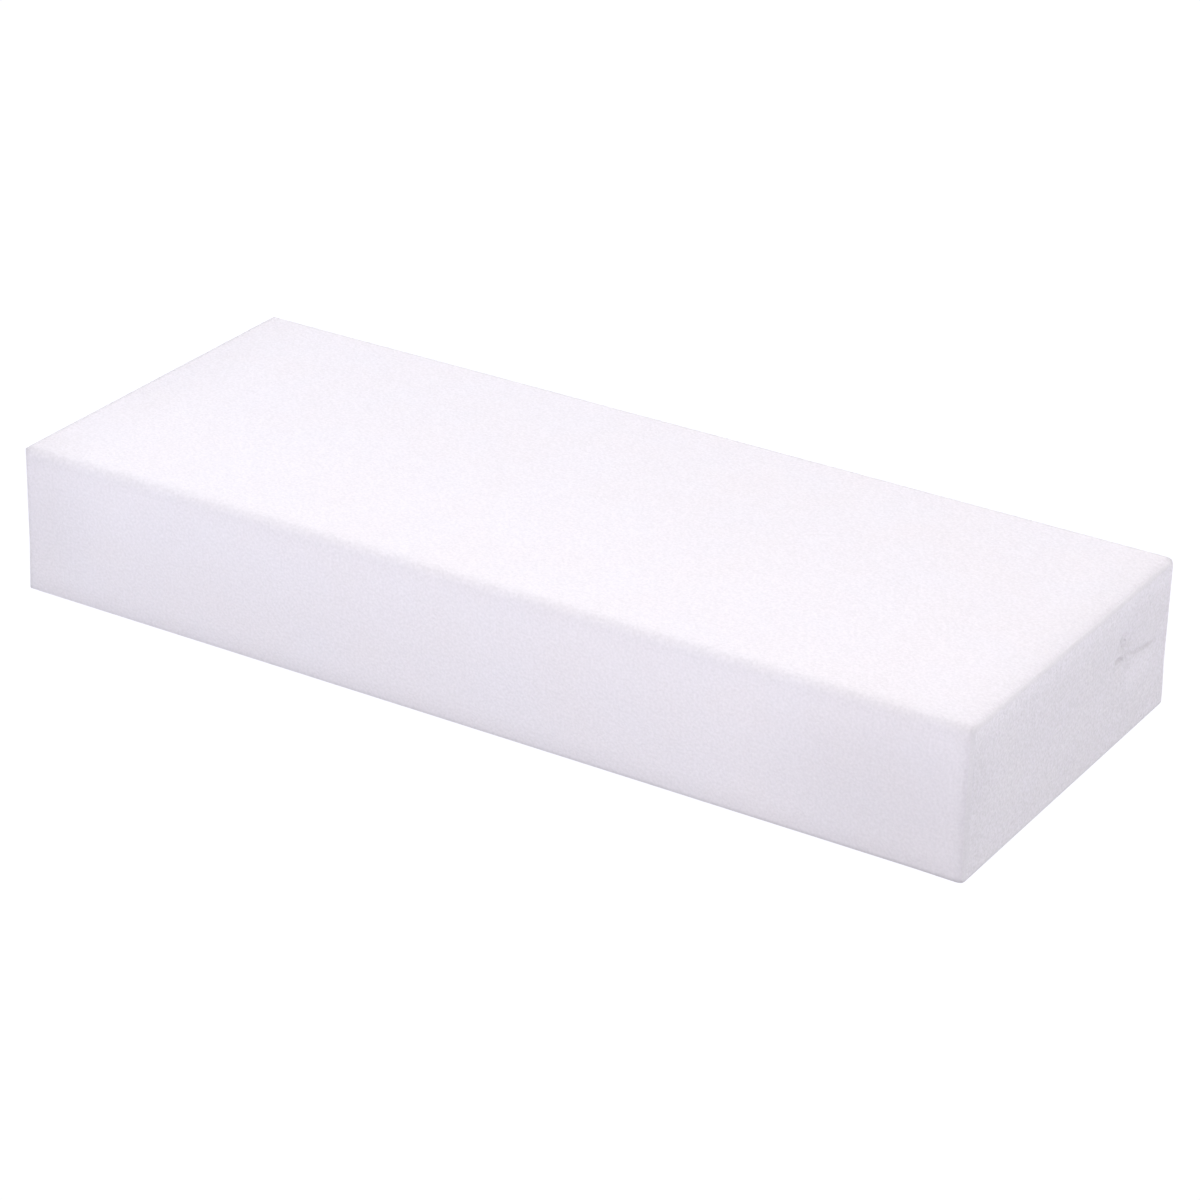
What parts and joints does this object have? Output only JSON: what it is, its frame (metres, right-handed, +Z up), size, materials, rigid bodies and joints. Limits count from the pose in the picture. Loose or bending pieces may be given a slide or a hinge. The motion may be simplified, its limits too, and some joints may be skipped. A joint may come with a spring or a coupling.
{
  "type": "nail buffer block",
  "caption": "Flat rectangular hand buffer block: a soft foam core with rounded edges, wrapped on its long faces in a fine abrasive sheet, with bare foam ends.",
  "frame": {"origin": "centre of the underside", "axes": "+X along the block towards its right end, +Y towards its back face, +Z up through its thickness"},
  "size_m": [0.1, 0.04, 0.015],
  "materials": {
    "foam": "matt white resilient foam with very fine open pores",
    "adhesive": "thin milky film of contact adhesive",
    "backing": "thin white latex-bound sheet",
    "grit": "matt white fine abrasive grain in white binder"
  },
  "bodies": {
    "root": {"foam_core": "foam", "adhesive_film": "adhesive", "backing_sheet": "backing", "grit_coat": "grit"}
  },
  "joints": []
}
